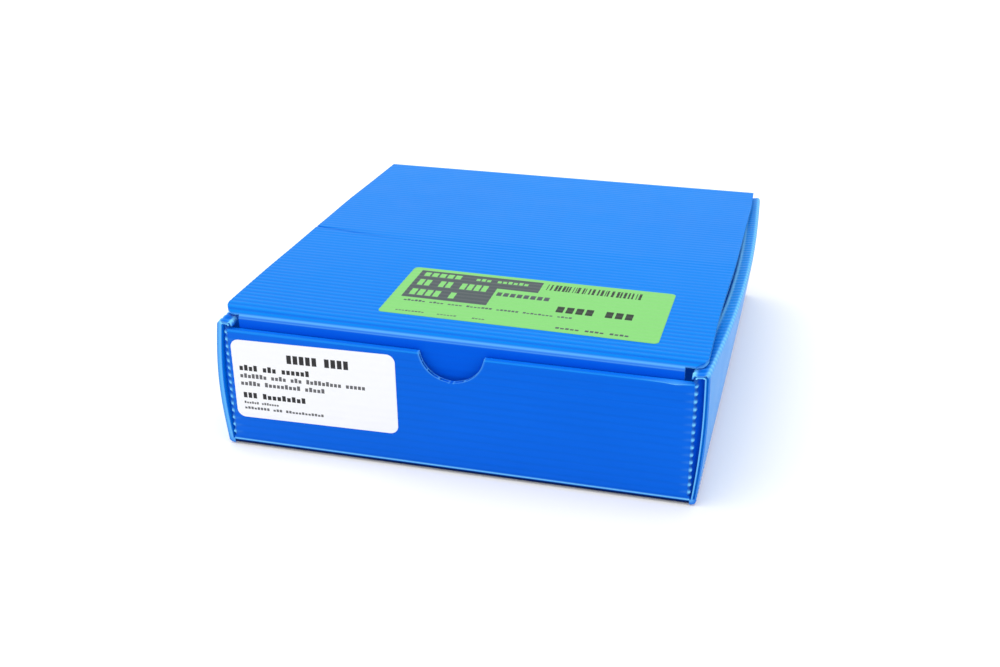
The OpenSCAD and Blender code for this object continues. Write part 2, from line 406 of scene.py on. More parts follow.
class FoldedSheet(Lattice):
    """A piece of folded sheet as a lattice with the axes (s, layer, run).

    s goes along the folded line, the layers are both faces of both skins, and the run goes
    along the folds. The finish reads its whitening and painted highlight, its painted shade
    and ribs, its painted light and its painted glow.
    """

    def __init__(self, stock: SheetStock, fold: FoldedLine, s: Array, run: int,
                 axes: tuple[int, int], lip: Array = 0.0) -> None:
        """Lays the four layers between the two faces of the line.

        Args:
            stock: The sheet.
            fold: The folded line.
            s: Stations along it.
            run: Number of points along the run.
            axes: The two axes of space that the line lies in.
            lip: Added to the depth shares, by layer and run.
        """
        shape = (len(s), 4, run)
        self.axes, self.s, self.mid_s = axes, s, (s[:-1] + s[1:]) / 2
        self.outer, self.inner, self.away = fold.faces(s)
        share = stock.shares[None, :, None] + lip
        points = np.zeros(shape + (3,))
        for a, axis in enumerate(axes):
            points[..., axis] = (over(self.outer[:, a]) * (1 - share)
                                 + over(self.inner[:, a]) * share)
        self.stress, self.deep, self.lit = (np.zeros(shape) for _ in range(3))
        # The inner skin carries a faint painted glow
        self.inside = over(layer=[0.0, 0.0, 1.0, 1.0]) * np.ones(shape)
        super().__init__(points, np.ones((len(s) - 1, 3, run - 1), bool),
                         {"stress": self.stress, "deep": self.deep, "lit": self.lit,
                          "inside": self.inside})

    def push(self, lift: Array, *layers: int) -> None:
        """Moves layers of points outwards, square to the sheet.

        Args:
            lift: How far, in millimetres, over the face (s, run).
            layers: Numbers of the layers that move.
        """
        for a, axis in enumerate(self.axes):
            for layer in layers:
                self.points[:, layer, :, axis] += lift * self.away[:, a, None]

    def empty(self, s: Array, run: Array, layers: tuple[int, ...] = ALL_LAYERS) -> None:
        """Takes out the cells at those places along s and the run."""
        self.filled[np.ix_(s, layers, run)] = False


# ------------------------------------------------------------------ finishes


class Nodes:
    """Short ways to add and join the shader nodes of a material or a world."""

    def __init__(self, owner: bpy.types.Material | bpy.types.World) -> None:
        """Turns on the owner's nodes and clears them.

        Args:
            owner: The material or the world.
        """
        owner.use_nodes = True
        self.owner, self.tree = owner, owner.node_tree
        self.tree.nodes.clear()

    def add(self, kind: str, inputs: dict[str | int, object],
            **settings: object) -> bpy.types.Node:
        """Adds a node, sets its properties, and links or writes its inputs.

        Args:
            kind: The node's type, without its first word.
            inputs: A socket or a plain value for each input's name or number.
            settings: The node's properties.

        Returns:
            The node.
        """
        node = self.tree.nodes.new("ShaderNode" + kind)
        for key, value in settings.items():
            setattr(node, key, value)
        for key, given in inputs.items():
            if isinstance(given, bpy.types.NodeSocket):
                self.tree.links.new(given, node.inputs[key])
            else:
                node.inputs[key].default_value = given
        return node

    def math(self, operation: str, a: object, b: object = 0.0, c: object = 0.0,
             clamp: bool = False) -> bpy.types.NodeSocket:
        """One Math node over sockets or numbers."""
        return self.add("Math", {0: a, 1: b, 2: c}, operation=operation,
                        use_clamp=clamp).outputs[0]

    def blend(self, share: object, a: object, b: object) -> bpy.types.NodeSocket:
        """Mixes two colours by a share. A Mix node's colours are its inputs 6 and 7."""
        return self.add("Mix", {0: share, 6: a, 7: b}, data_type="RGBA").outputs[2]

    def noise(self, stretch: tuple[float, float, float], scale: float,
              detail: float = 3.0) -> bpy.types.NodeSocket:
        """Noise on the object's own coordinates.

        Args:
            stretch: Scale of the coordinates along each axis; a small one draws streaks.
            scale: Scale of the noise, in spots per metre.
            detail: Number of finer layers.

        Returns:
            The noise, from 0 to 1.
        """
        place = self.add("TexCoord", {}).outputs["Object"]
        place = self.add("Mapping", {"Vector": place, "Scale": stretch}).outputs[0]
        return self.add("TexNoise", {"Vector": place, "Scale": scale,
                                     "Detail": detail}).outputs["Fac"]

    def attribute(self, name: str) -> bpy.types.NodeSocket:
        """The piece's own value of that name at each point."""
        return self.add("Attribute", {}, attribute_name=name).outputs["Fac"]

    def bump(self, height: object, strength: float, distance: float) -> bpy.types.NodeSocket:
        """A normal bumped by a height."""
        return self.add("Bump", {"Height": height, "Strength": strength,
                                 "Distance": distance}).outputs[0]

    def finish(self, shader: bpy.types.Node, output: str = "OutputMaterial") -> bpy.types.ID:
        """Joins the shader to the output and returns the owner."""
        self.add(output, {"Surface": shader.outputs[0]})
        return self.owner


class FluteRun(enum.Enum):
    """Which way the flutes of a piece run, which is the way its drawn surface is streaked."""

    ALONG_X = (0.06, 1.0, 1.0)
    UP_THE_SIDE = (0.06, 1.0, 0.06)


@dataclass(frozen=True)
class SheetFinish:
    """Satin blue polypropylene, paler where it is folded or cut, with its ribs faintly seen.

    The sheet lets some light through, and the light is painted: painted light makes some panels
    a paler blue, a faint painted glow keeps the faces inside the box from going quite dark,
    painted highlight adds to the paleness of folds and cut edges, and painted shade darkens
    creases, grooves and the feet.
    """

    name: str
    run: FluteRun
    blue: Colour = (0.002, 0.130, 0.79, 1.0)
    # Paler blue where light is painted on
    lit_blue: Colour = (0.003, 0.245, 0.92, 1.0)
    deepest: float = 0.86
    # Pale colour of folds and cut edges: the sheet's whitening and painted highlight
    whitening_and_highlight_colour: Colour = (0.20, 0.65, 1.0, 1.0)
    sheen: Colour = (0.04, 0.46, 1.0, 1.0)
    shade: Colour = (0.0, 0.0, 0.02, 1.0)
    # Colour of the painted glow, strongest on faces inside the box
    glow: Colour = (0.0, 0.018, 0.055, 1.0)
    roughness: float = 0.36
    gloss: float = 0.42
    # Share of the gloss that follows the painted light: a painted sheen
    sheen_on_painted_light: float = 0.0

    def make(self) -> bpy.types.Material:
        """Builds the material.

        Returns:
            A material that reads the piece's whitening and painted highlight, its painted
            shade and ribs, its painted light and its painted glow.
        """
        n = Nodes(bpy.data.materials.new(self.name))
        streak = n.noise(self.run.value, 900.0, 2.0)
        lit = n.attribute("lit")
        # Slow clouds, painted shade, ribs seen through and streaks along the flutes deepen the
        # blue
        cloud = n.math("MULTIPLY_ADD", n.noise(EVEN, 14.0, 2.0), 1 - self.deepest, self.deepest)
        clear = n.math("SUBTRACT", 1.0, n.attribute("deep"), clamp=True)
        fine = n.math("MULTIPLY_ADD", streak, -0.10, 1.05)
        depth = n.math("MULTIPLY", n.math("MULTIPLY", cloud, clear), fine)
        clouded_shaded_blue = n.blend(depth, self.shade, n.blend(lit, self.blue, self.lit_blue))
        # Folds and cut edges turn pale: the sheet's whitening and painted highlight
        stress = n.math("MULTIPLY", n.attribute("stress"), 0.8, clamp=True)
        # Painted sheen: the shine follows the painted light, and painted shade dims it
        shine = n.math("MULTIPLY_ADD", n.math("POWER", lit, 3.0), self.sheen_on_painted_light * self.gloss,
                       (1 - self.sheen_on_painted_light) * self.gloss)
        grain = n.math("MULTIPLY_ADD", n.noise(EVEN, 2600.0, 1.0), 0.25, streak)
        return n.finish(n.add("BsdfPrincipled", {
            "Base Color": n.blend(stress, clouded_shaded_blue, self.whitening_and_highlight_colour),
            "Roughness": n.math("MULTIPLY_ADD", n.noise(EVEN, 60.0), 0.12,
                                self.roughness - 0.06),
            "Specular IOR Level": n.math("MULTIPLY", clear, shine),
            "Specular Tint": self.sheen, "IOR": 1.49,
            # A faint painted glow, strongest on faces inside the box
            "Emission Color": self.glow, "Emission Strength": n.attribute("inside"),
            "Normal": n.bump(grain, 0.35, 0.00006)}))


@dataclass(frozen=True)
class PaperFinish:
    """Coated label paper, or the ink printed on it."""

    name: str
    colour: Colour
    roughness: float = 0.45
    mottle: float = 0.05

    def make(self) -> bpy.types.Material:
        """Builds the material: a flat colour with a faint mottle and a fine paper grain.

        Returns:
            The material.
        """
        n = Nodes(bpy.data.materials.new(self.name))
        darker = tuple(c * (1 - 2 * self.mottle) for c in self.colour[:3]) + (1.0,)
        cloud = n.math("MULTIPLY", n.noise(EVEN, 420.0, 4.0), 0.6)
        return n.finish(n.add("BsdfPrincipled", {
            "Base Color": n.blend(cloud, self.colour, darker),
            "Roughness": n.math("MULTIPLY_ADD", n.noise(EVEN, 900.0), 0.14,
                                self.roughness - 0.07),
            "Specular IOR Level": 0.35,
            "Normal": n.bump(n.noise(EVEN, 1800.0), 0.3, 0.00004)}))


# ------------------------------------------------------------------ the tray


@dataclass
class Tray:
    """The open box: front wall, base and rear wall in one run, side walls and corner flaps."""

    stock: SheetStock
    front_y: float
    rear_y: float
    hinge_h: float
    box_w: float = 194.2
    front_h: float = 52.0
    side_h: float = 55.2
    side_fall: float = 2.6
    strip_drop: float = 0.8
    lap_gap: float = 0.15
    fold_r: float = 1.0
    strip_fold_r: float = 0.9
    left_fold_r: float = 2.2
    foot_r: float = 1.2
    foot_sink: float = 1.3
    rib_shift: float = 0.5
    sag: float = 0.05
    # How the side walls stand out
    lean_left: float = 0.8
    lean_front: float = 1.9
    lean_rear: float = 4.0
    bow: float = 4.2
    right_offset: float = 0.7
    left_bulge: float = 2.1
    left_foot_out: float = 0.5
    right_bulge: float = 1.1
    right_top_out: float = 0.4
    right_foot_out: float = 1.3
    strip_squeeze: float = 0.45
    # Corner flaps, inner panels, their tabs and the thumb notch
    flap_turn: float = 7.0
    flap_l: float = 44.0
    crease_back: float = 1.0
    inner_start: float = 8.0
    tab_l: float = 26.0
    tab_at: float = 58.0
    tab_end: float = 0.3
    slot_play: float = 0.3
    notch_r: float = 13.2
    flute_depth: float = 12.0
    # The front wall's cut edge, which hangs and has a dent with two bottoms
    edge_band: float = 2.9
    edge_ease: tuple[float, ...] = (1.0, 1.0, 0.25, 0.0)
    dents: tuple[tuple[float, float, float], ...] = ((80.0, 5.0, 0.25), (86.8, 3.8, 1.0))
    dent_drop: float = 0.75

    @property
    def lap_step(self) -> float:
        """One sheet and the air beside it."""
        return self.stock.thickness + self.lap_gap

    @property
    def strip_w(self) -> float:
        """Width of a side wall's top strip: three sheets and the air between them."""
        return 3 * self.stock.thickness + 2 * self.lap_gap

    @property
    def wall_half(self) -> float:
        """Half the width of the front and rear walls."""
        return self.box_w / 2 - self.lap_step

    @cached_property
    def fold(self) -> FoldedLine:
        """The section of rear wall, base and front wall."""
        foot = -self.foot_sink
        return FoldedLine([(self.rear_y, self.hinge_h), (self.rear_y, foot),
                           (self.front_y, foot), (self.front_y, self.front_h)],
                          [self.foot_r] * 2, self.stock.thickness, mitre_start=True)

    @property
    def rib_zero(self) -> float:
        """Where the count of the base's and the front wall's ribs starts."""
        return self.fold.folds[1] + self.rib_shift

    def along(self, y: Array) -> Array:
        """Share of the way from the front wall to the rear wall."""
        return (y - self.front_y) / (self.rear_y - self.front_y)

    def side_top(self, y: Array) -> Array:
        """Height of the side walls' outer folds, which fall a little towards the rear."""
        return self.side_h - self.side_fall * self.along(y)

    def flap_top(self, y: Array) -> Array:
        """Height of the corner flaps, which stay under the side walls' top strips."""
        return np.minimum(self.front_h, self.side_top(y) - self.strip_drop - self.lap_step)

    def lean(self, y: Array, side: int) -> Array:
        """How far a side wall's top stands out: a straight lean plus half a sine wave.

        Args:
            y: Places along the wall.
            side: 1 for the right wall, -1 for the left.

        Returns:
            Distances beyond the foot, one for each y.
        """
        along = self.along(y)
        if side < 0:
            return np.full_like(along, self.lean_left)
        return (self.lean_front + (self.lean_rear - self.lean_front) * along
                + self.bow * np.sin(np.pi * np.clip(along, 0, 1))
                + self.right_offset * smooth_step(along / 0.28))

    def bulge(self, y: Array, z: Array, side: int) -> Array:
        """How far an outer panel stands out beyond its lean.

        Both bulge between their folds as half a sine wave of the height, the right one less
        so to the rear, where its foot stands out instead.

        Args:
            y: Places along the wall.
            z: Heights.
            side: 1 for the right wall, -1 for the left.

        Returns:
            Distances outwards, one for each place.
        """
        up, along = np.clip(z / self.side_h, 0, 1), self.along(y)
        if side < 0:
            return self.left_bulge * np.sin(np.pi * up) + self.left_foot_out * (1 - up)
        bulge = self.right_bulge * (1 - 0.7 * smooth_step(2 * along))
        return (self.right_top_out + self.right_foot_out * along * (1 - up)
                + bulge * np.sin(np.pi * up))

    def tab_ends(self, play: float = 0.0) -> Array:
        """Y of both ends of each locking tab, or of its slot with some play."""
        half = self.tab_l / 2 + play
        return np.array([m * self.tab_at + e * half for m in (-1, 1) for e in (-1, 1)])

    # -- front wall, base and rear wall

    def notch_half(self, z: Array) -> Array:
        """Half the notch's width: a circle's chord, which eases out again below the circle.

        Args:
            z: Heights on the front wall.

        Returns:
            Half the width at each height.
        """
        drop = np.clip((self.front_h - z) / self.notch_r, 0, 1)
        chord = self.notch_r * np.sqrt(1 - drop * drop)
        below = self.front_h - self.notch_r - z
        return np.maximum(chord, 0.9) + 11.0 * smooth_step(below / 14.0)

    def dip(self, x: Array, s: Array) -> Array:
        """How far the front wall's face lies under its nominal place at s, for every x."""
        return self.sag * self.stock.sag(s, self.rib_zero)

    def at_edge(self, s: Array) -> Array:
        """1 at the front wall's cut edge, 0 from edge_band below it."""
        return smooth_step(1 + (s - self.fold.length) / self.edge_band)

    def droop(self, x: Array, s: Array) -> Array:
        """How far the front wall's cut edge hangs below its nominal height, at x and s."""
        return self.at_edge(s) * (1.0 + 0.5 * smooth_step(1 + x / self.wall_half))

    def dent(self, x: Array) -> Array:
        """Strength of the dent in the front wall's cut edge, near its right-hand end."""
        return sum(share * bell(x - at, width) for at, width, share in self.dents)

    def wear_edge(self, points: Array, x: Array, s: Array, share: Array) -> None:
        """Presses the front wall's cut edge in, dents its outer skin and lets it hang.

        Args:
            points: Places to change, with the axes (s, layer, run, 3).
            x: X of the points.
            s: Their distance along the section.
            share: How much of the wear they take.
        """
        dent = self.dent(x)
        eased = self.at_edge(s) * share * over(layer=self.edge_ease)
        points[..., 1] += eased * (0.10 + 0.06 * np.sin(x / 17.0) - 0.25 * dent)
        points[..., 2] -= eased * self.dent_drop * dent + self.droop(x, s) * share

    def through_sheet(self, finish: bpy.types.Material) -> bpy.types.Object:
        """Front wall, base and rear wall as one sheet, seen along X.

        The sheet's section follows a folded line, and every line across it runs along X.
        Lines near the thumb notch bend round its arc.

        Args:
            finish: The sheet's material.

        Returns:
            The piece.
        """
        st, fold, base_zero = self.stock, self.fold, self.rib_zero
        rear_foot, front_foot = fold.folds
        slots = front_foot + self.front_y - self.tab_ends(self.slot_play)
        notch_foot = fold.length - self.notch_r
        s = merged(
            st.lines(0.0, rear_foot, 0.0), st.lines(rear_foot, front_foot, base_zero),
            st.lines(front_foot, fold.length, base_zero), fold.fold_lines(), slots, [2.0, 3.0],
            front_foot + np.arange(1.2, 3.6, 0.2),
            notch_foot + np.array([0, 0.1, 0.3, 0.6, 1, 1.5]),
            np.linspace(notch_foot, fold.length, 20), apart=0.05)
        z = fold.faces(s)[0][:, 1]
        on_front = s > front_foot
        arc = np.where(on_front, self.notch_half(z), self.notch_r)

        # Columns along X: fixed ones at the ends, and ones that follow the notch in the middle
        slot_x = self.box_w / 2 - self.strip_w + np.array([st.thickness + self.slot_play,
                                                           -self.slot_play])
        fixed = [89.3, 88.0, 86.6, 85.0, 82.0, 79.0, 76.0, 72.0, 66.0, 58.0, 48.0]
        # No corner flap starts at the base, nor at the rear wall's upper end
        flap_top = np.where(on_front, self.front_h + 0.1, self.flap_top(self.rear_y))
        end = np.where((z < self.lap_step) | (z > flap_top), self.wall_half,
                       self.wall_half - self.crease_back)
        half = [end] + [np.minimum(v, end) for v in [*slot_x, *fixed]]
        half[1] = np.minimum(half[1], end - 0.3)
        half += [arc + e for e in (24.0, self.flute_depth, 3.0, 0.9, 0.25, 0.0)] + [arc * 0.5]
        half = np.stack(half, axis=1)
        x = columns(half, half)
        n_side, n_run = half.shape[1], x.shape[1]

        grid = FoldedSheet(st, fold, s, n_run, (1, 2))
        grid.points[..., 0] = x[:, None, :]
        zero = np.where(s < rear_foot, 0.0, base_zero)
        flat = 1 - np.clip(fold.near_folds(s, 1.6) + bell(s, 2.0), 0, 1)
        sag = (self.sag * st.sag(s, zero) * flat)[:, None]
        grid.away = (grid.outer - grid.inner) / st.thickness
        grid.push(-sag, 0)
        grid.push(sag, 3)
        self.wear_edge(grid.points, x[:, None, :], over(s), 1.0)

        flute = st.in_flute(grid.mid_s, np.where(grid.mid_s < rear_foot, 0.0, base_zero))
        from_middle = np.abs(np.arange(n_run - 1) + 0.5 - n_side)
        in_notch = grid.mid_s > notch_foot
        grid.empty(in_notch, from_middle < 2)
        # Flutes are open at the notch, but the wall's cut edge is shut
        top_rib = fold.length - (fold.length - base_zero - st.pitch / 2) % st.pitch
        grid.empty(in_notch & flute & (grid.mid_s < top_rib),
                   (from_middle > 2) & (from_middle < 6), BETWEEN_SKINS)
        grid.empty(within(grid.mid_s, slots), [1, n_run - 3])

        # Painted highlight on each foot where it starts to turn under, and painted shade below
        # that
        for foot, up in ((rear_foot, -1), (front_foot, 1)):
            above = up * (s - foot)
            grid.stress += over(1.25 * bell(above - 2.08, 0.31))
            grid.deep += over(0.90 * between(above, -3.0, 2.0, 1.75, 0.5)
                              + 0.12 * bell(above - 3.1, 0.35))
        # Painted light and pale lines along the front wall's cut edge, the notch's rim and the
        # rear wall's top, and a painted highlight in the edge's dent
        edge, ease = s - fold.length, np.array(self.edge_ease)
        cut = bell(np.abs(np.abs(x) - arc[:, None]), 0.22) * (s > notch_foot - 0.2)[:, None]
        dent_highlight = over(layer=ease, face=bell(edge + 0.7, 0.7)[:, None] * self.dent(x))
        grid.lit += (over(0.95 * bell(edge + 1.0, 1.1), ease)
                     + over(0.75 * bell(edge, 0.3), 1 - ease) + over(face=0.4 * cut)
                     + 0.6 * dent_highlight)
        grid.stress += (over(0.06 * bell(edge + 0.9, 0.85), ease) + over(0.5 * bell(s, 1.2))
                        + over(face=0.6 * cut) + 1.1 * dent_highlight)
        # Pale streaks run in from the crushed creases at both ends
        to_end = smooth_step((np.abs(x) - (self.wall_half - 5.0)) / 4.5)
        streak = bell(st.to_rib(s, zero), 0.5) * (on_front & (z < 48))
        grid.stress += over(0.14 * streak, face=to_end)
        grid.deep += over(0.05 * st.on_rib(s, zero))
        return grid.build("front_base_rear_sheet", [finish])

    # -- side walls

    def side_wall(self, side: int, finish: bpy.types.Material) -> bpy.types.Object:
        """A roll-over side wall: inner panel, top strip and outer panel, seen along Y.

        The section is a folded line that leans out with height, by an amount that changes
        along Y. Ribs cross every fold, where they stand out as a row of small bumps.

        Args:
            side: 1 for the right wall, -1 for the left.
            finish: The sheet's material.

        Returns:
            The piece.
        """
        st, front_y, right = self.stock, self.front_y, side > 0
        outer_x, inner_x = self.box_w / 2, self.box_w / 2 - self.strip_w
        fold = FoldedLine(
            [(inner_x, self.tab_end), (inner_x, self.side_h - self.strip_drop),
             (outer_x, self.side_h), (outer_x, -self.foot_sink),
             (self.wall_half, -self.foot_sink)],
            [self.strip_fold_r, self.strip_fold_r if right else self.left_fold_r, self.fold_r],
            st.thickness)
        to_strip, to_panel, to_foot = fold.folds
        shoulder = self.lap_step - self.tab_end
        inner_top = to_strip - st.thickness
        s = merged(fold.fold_lines(10), [0.0, shoulder, fold.length, inner_top],
                   np.linspace(shoulder, inner_top, 14), np.linspace(to_strip, to_panel, 15),
                   np.linspace(to_panel, to_foot, 16), apart=0.08)
        inner_ends = [front_y + self.inner_start, self.rear_y - self.inner_start]
        rear_cut = self.rear_y - self.lap_step
        y = merged(st.lines(front_y, self.rear_y, front_y), self.tab_ends(), inner_ends,
                   [rear_cut, front_y + 0.5, front_y + 1.0], apart=0.06)
        mid_y = (y[:-1] + y[1:]) / 2
        # The cut has pressed the skins out to broad lips at the front end
        at_front = bell(y - front_y, 0.5)
        lip = np.array([0.0, 0.16, -0.16, 0.0])[:, None] * at_front
        grid = FoldedSheet(st, fold, s, len(y), (0, 2), lip)
        points = grid.points
        points[..., 1] = y

        # Bumps over the ribs at each fold, ladder-like flutes on the strip, faint ones elsewhere
        at_rib = bell(st.to_rib(y, front_y), 0.55)
        sag = st.sag(y, front_y)
        at_fold = np.clip(fold.near_folds(s, 1.0), 0, 1)
        on_strip = between(s, to_strip + 0.3, 1.2, to_panel - 0.3, 1.2)
        lift = (at_fold[:, None] * (0.34 * at_rib - 0.16)
                - ((1 - at_fold) * (self.sag + 0.25 * on_strip))[:, None] * sag)
        curl = 0.55 * bell(y - front_y, 2.6) * on_strip[:, None]
        grid.push(lift - curl, 0, 1)
        grid.push(-0.4 * lift, 3)
        points[..., 2] *= self.side_top(y) / self.side_h
        rise = np.clip(points[..., 2], 0, None) / self.side_h
        points[..., 0] += self.lean(y, side) * rise
        on_outer = between(s, to_panel, 2.0, to_foot + 1.0, 2.0)
        points[..., 0] += over(on_outer) * self.bulge(points[..., 1], points[..., 2], side)
        if right:
            # The strip is a little narrower halfway along, where no corner flap lies behind it
            to_inner = 1 - smooth_step((s - to_strip) / self.strip_w)
            halfway = between(y, -70, 40, 80, 30)
            points[..., 0] += over(self.strip_squeeze * to_inner, run=halfway) * rise

        grid.empty(grid.mid_s < inner_top, ~within(mid_y, inner_ends))
        grid.empty(grid.mid_s < shoulder, ~within(mid_y, self.tab_ends()))
        rear_x = (grid.outer[:-1, 0] + grid.outer[1:, 0]) / 2 + self.lean(self.rear_y, side)
        grid.empty((grid.mid_s < to_panel) & (rear_x < self.wall_half + self.lap_gap),
                   mid_y > rear_cut)
        # The end flutes lie open, down to the foot on the right and along the strip on the left
        first_rib = front_y + st.pitch / 2
        last_rib = first_rib + st.pitch * math.floor((self.rear_y - first_rib) / st.pitch)
        ribs = [first_rib - st.rib / 2, last_rib + st.rib / 2]
        open_to = to_foot - 2.5 if right else to_panel - 1.0
        grid.empty(grid.mid_s < open_to, ~within(mid_y, ribs), BETWEEN_SKINS)

        at_foot = bell(s - to_foot, 2.5)
        skins = [0.35, 0.35, 1.0, 1.0] if right else [0.4, 0.7, 1.0, 0.8]
        cut = bell(y - front_y, 0.35) + bell(y - self.rear_y, 0.35)
        # Pale folds and cut ends: whitening and painted highlight, strongest along the inner
        # fold
        grid.stress += (over(at_fold * (1 - 0.9 * at_foot), run=0.35 + 0.65 * at_rib)
                        + over(0.85 - 0.3 * at_foot, skins, cut)
                        + over(0.12 * on_strip, run=at_rib)
                        + over(0.38 * bell(s - to_panel, 0.8)
                               + 0.95 * bell(s - to_strip - 0.3, 1.1)))
        # Ribs seen through, and painted shade in the strip's flutes
        grid.deep += (over(run=0.06 * st.on_rib(y, front_y))
                      + over(0.16 * on_strip, run=sag))
        # A faint painted glow on the inner panel
        grid.inside[:] = np.maximum(grid.inside, over(smooth_step(to_strip + 0.5 - s)))
        # Painted light on the outer panel, less on the strip and inner panel, more towards the
        # rear
        painted_light_to_strip = over(s < to_panel, run=0.28 + 0.50 * smooth_step(self.along(y) / 0.35))
        panel = over(between(s, to_panel - 1.0, 2.0, to_foot - 0.5, 2.0))
        grid.lit += np.maximum(panel, painted_light_to_strip) * (1 - at_front)
        points[..., 0] *= side
        return grid.build(("right" if right else "left") + "_side_wall_sheet", [finish])

    # -- corner flaps

    def corner_flap(self, side: int, end: int, finish: bpy.types.Material) -> bpy.types.Object:
        """A crushed crease at the end of the front or rear wall, and the flap behind it.

        The section is a folded line in plan. Each rib stands out at the crease as a bump.

        Args:
            side: 1 for the right, -1 for the left.
            end: -1 for the front wall, 1 for the rear wall.
            finish: The sheet's material.

        Returns:
            The piece.
        """
        st, top = self.stock, self.front_h
        crease_x = self.wall_half - self.crease_back
        fold = FoldedLine(
            [(crease_x, 0.0), (self.wall_half, 0.0), (self.wall_half, self.flap_turn),
             (self.wall_half, self.flap_l)], [0.8, 30.0], st.thickness, inner_side=-1)
        crease = fold.folds[0]
        s = merged([0.0, fold.length], fold.fold_lines(10),
                   np.linspace(crease + 2, fold.length, 12), apart=0.05)
        zero = self.rib_shift - self.foot_sink if end < 0 else self.hinge_h
        z = merged(st.lines(self.lap_step, top, zero), [top - 0.8, top - 1.6], apart=0.06)
        grid = FoldedSheet(st, fold, s, len(z), (0, 1))
        points = grid.points
        at_fold = bell(s - crease, 1.0)
        at_rib = bell(st.to_rib(z, zero), 0.7) * smooth_step((top - 0.6 - z) / 0.8)
        grid.push(at_fold[:, None] * (0.75 * at_rib - 0.25)
                  - (1 - at_fold)[:, None] * self.sag * st.sag(z, zero), 0, 1)
        # Away from the crease the flap follows the lean of the side wall that holds it
        back = points[..., 1].copy()
        y = self.front_y + back if end < 0 else self.rear_y - back
        height = self.lap_step + (z - self.lap_step) / (top - self.lap_step) * (
            self.flap_top(y) - self.lap_step)
        lean = self.lean(y, side) * height / self.side_h + self.bulge(y, height, side)
        follow = smooth_step(back / (self.flap_turn * (1.0 if side > 0 else 0.45)))
        points[..., 0] = side * (points[..., 0] + lean * follow)
        points[..., 1], points[..., 2] = y, height
        if end < 0:
            self.wear_edge(points, np.array(side * crease_x), self.fold.length - top + z,
                           over(1 - smooth_step(s / 2.2)))
        # Painted highlight with some whitening on the crease's bumps, painted shade between them
        grid.stress += (over(at_fold, run=0.03 + 1.6 * at_rib ** 1.3)
                        + over(run=0.15 * bell(z - top, 0.3)))
        grid.deep += over(0.4 * at_fold, run=1 - at_rib)
        # A faint painted glow on the flap behind the crease
        grid.inside[:] = np.maximum(grid.inside, over(smooth_step((s - crease - 0.6) / 1.2)))
        name = ("right" if side > 0 else "left") + ("_front" if end < 0 else "_rear")
        return grid.build(name + "_corner_flap", [finish])

    def build(self) -> list[bpy.types.Object]:
        """Builds and dresses every piece of the tray.

        Returns:
            The pieces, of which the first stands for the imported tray.
        """
        along = SheetFinish("tray_sheet_along", FluteRun.ALONG_X).make()
        # The side walls' painted light is a paler blue, and most of their sheen follows it
        up = SheetFinish("tray_sheet_up", FluteRun.UP_THE_SIDE, gloss=0.50, sheen_on_painted_light=0.95,
                         lit_blue=(0.002, 0.34, 0.97, 1.0)).make()
        pieces = [self.through_sheet(along)]
        pieces += [self.side_wall(side, up) for side in (1, -1)]
        pieces += [self.corner_flap(side, end, along) for side in (1, -1) for end in (-1, 1)]
        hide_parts("tray")
        return [dressed(piece, "tray_body") for piece in pieces]


# ------------------------------------------------------------------ the lid


